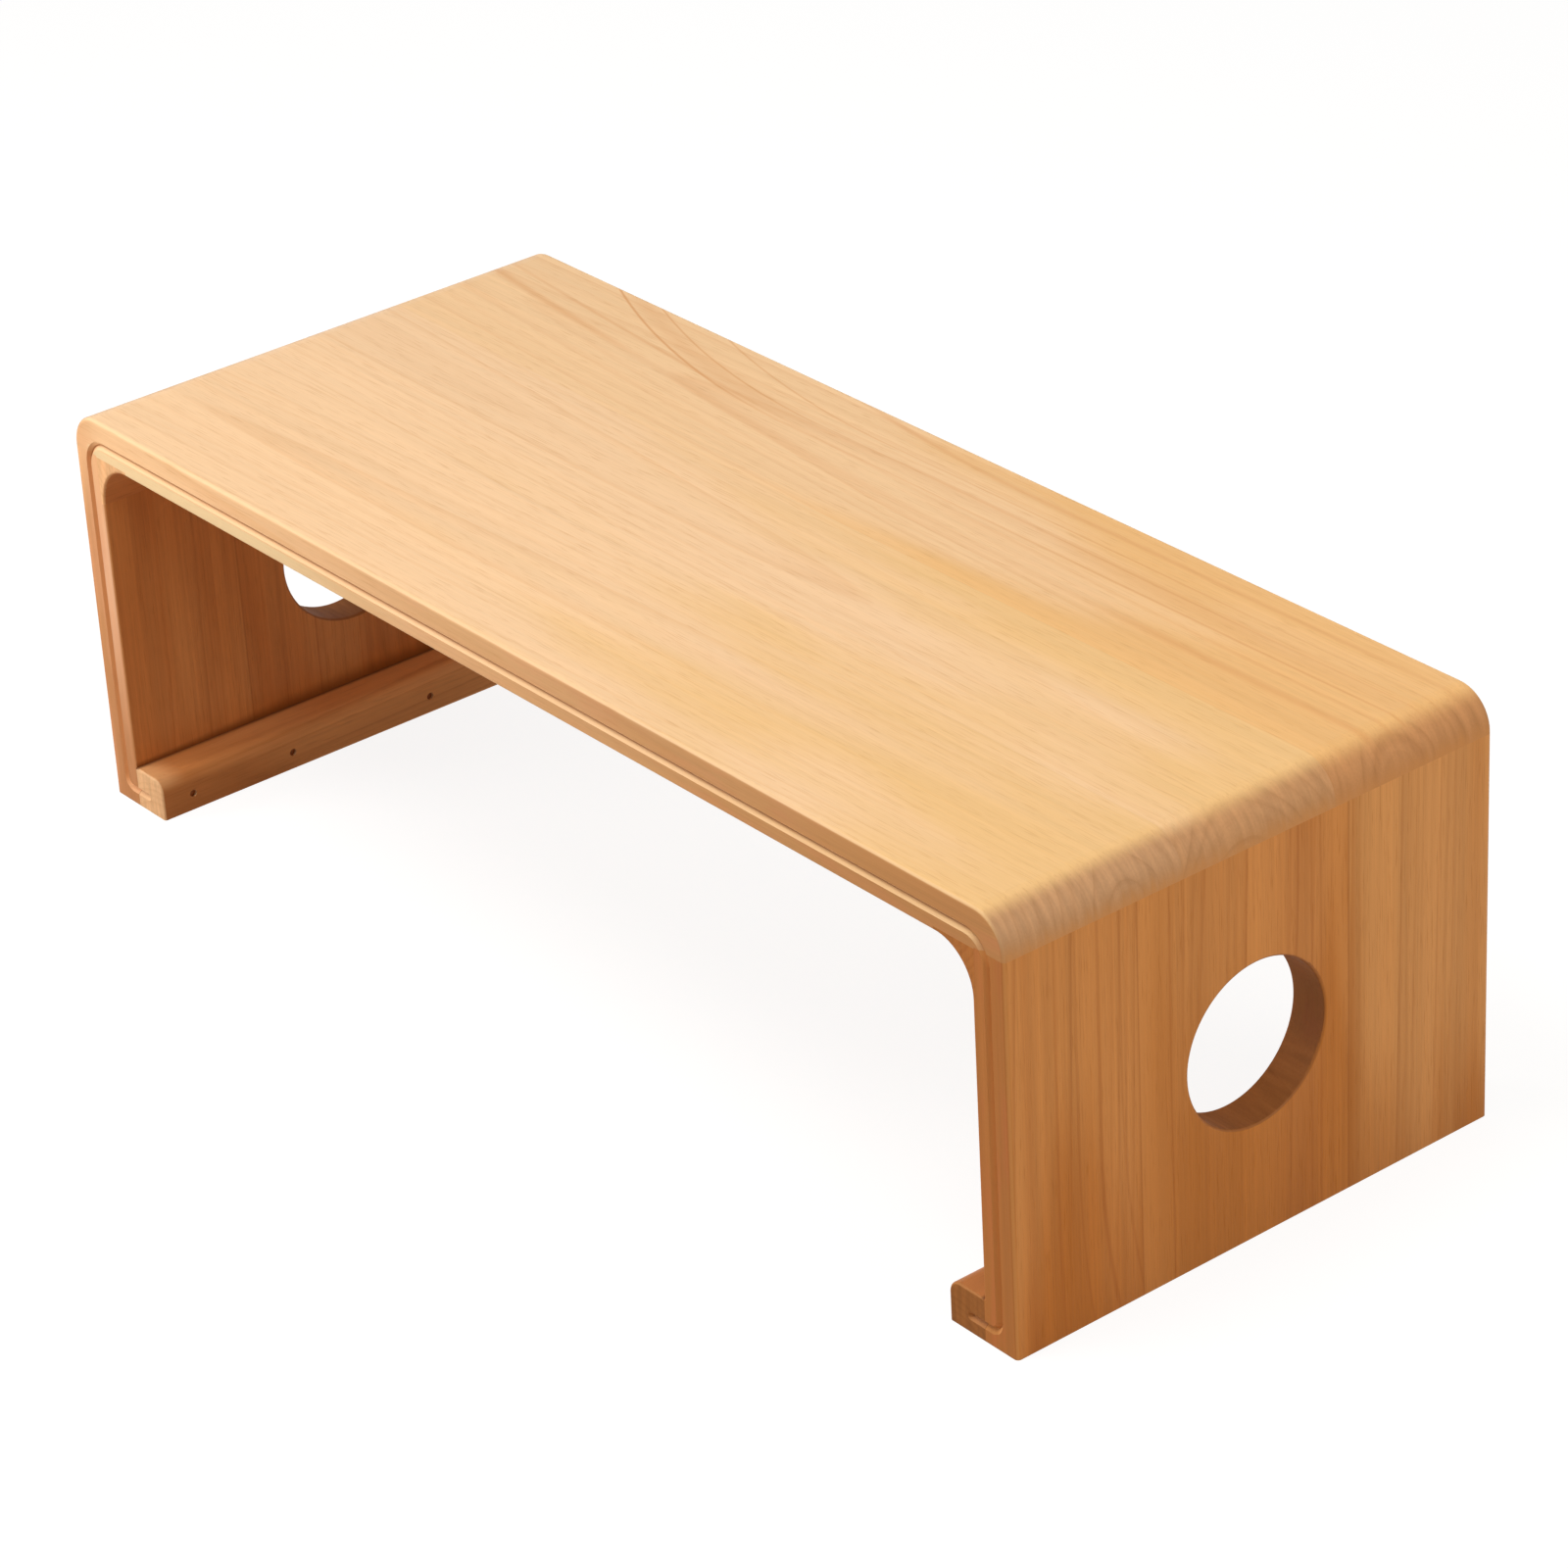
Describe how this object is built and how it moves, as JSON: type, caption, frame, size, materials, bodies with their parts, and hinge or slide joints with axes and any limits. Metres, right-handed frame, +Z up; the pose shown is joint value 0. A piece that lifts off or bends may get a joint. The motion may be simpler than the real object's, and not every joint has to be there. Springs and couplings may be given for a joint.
{
  "type": "low tea table",
  "caption": "Low waterfall tea table of solid wood: rounded outer corners, coved inner corners, side panels with a round hand hole, foot rails and a routed line along the edges.",
  "frame": {"origin": "on the floor, under the middle of the top", "axes": "+X along the length to the right, +Y from the front to the back, +Z up"},
  "size_m": [1, 0.405, 0.31],
  "materials": {
    "top_wood": "satin clear lacquer",
    "side_wood": "satin clear lacquer",
    "block_wood": "satin clear lacquer",
    "rail_wood": "satin clear lacquer",
    "dowel_wood": "unfinished",
    "screw_steel": "black oxide"
  },
  "bodies": {
    "root": {"top_front_board": "top_wood", "top_middle_board": "top_wood", "top_rear_board": "top_wood", "left_side_front_board": "side_wood", "left_side_middle_board": "side_wood", "left_side_rear_board": "side_wood", "right_side_front_board": "side_wood", "right_side_middle_board": "side_wood", "right_side_rear_board": "side_wood", "left_corner_block": "block_wood", "left_foot_rail": "rail_wood", "left_corner_dowels": "dowel_wood", "left_rail_screws": "screw_steel", "right_corner_block": "block_wood", "right_foot_rail": "rail_wood", "right_corner_dowels": "dowel_wood", "right_rail_screws": "screw_steel"}
  },
  "joints": []
}
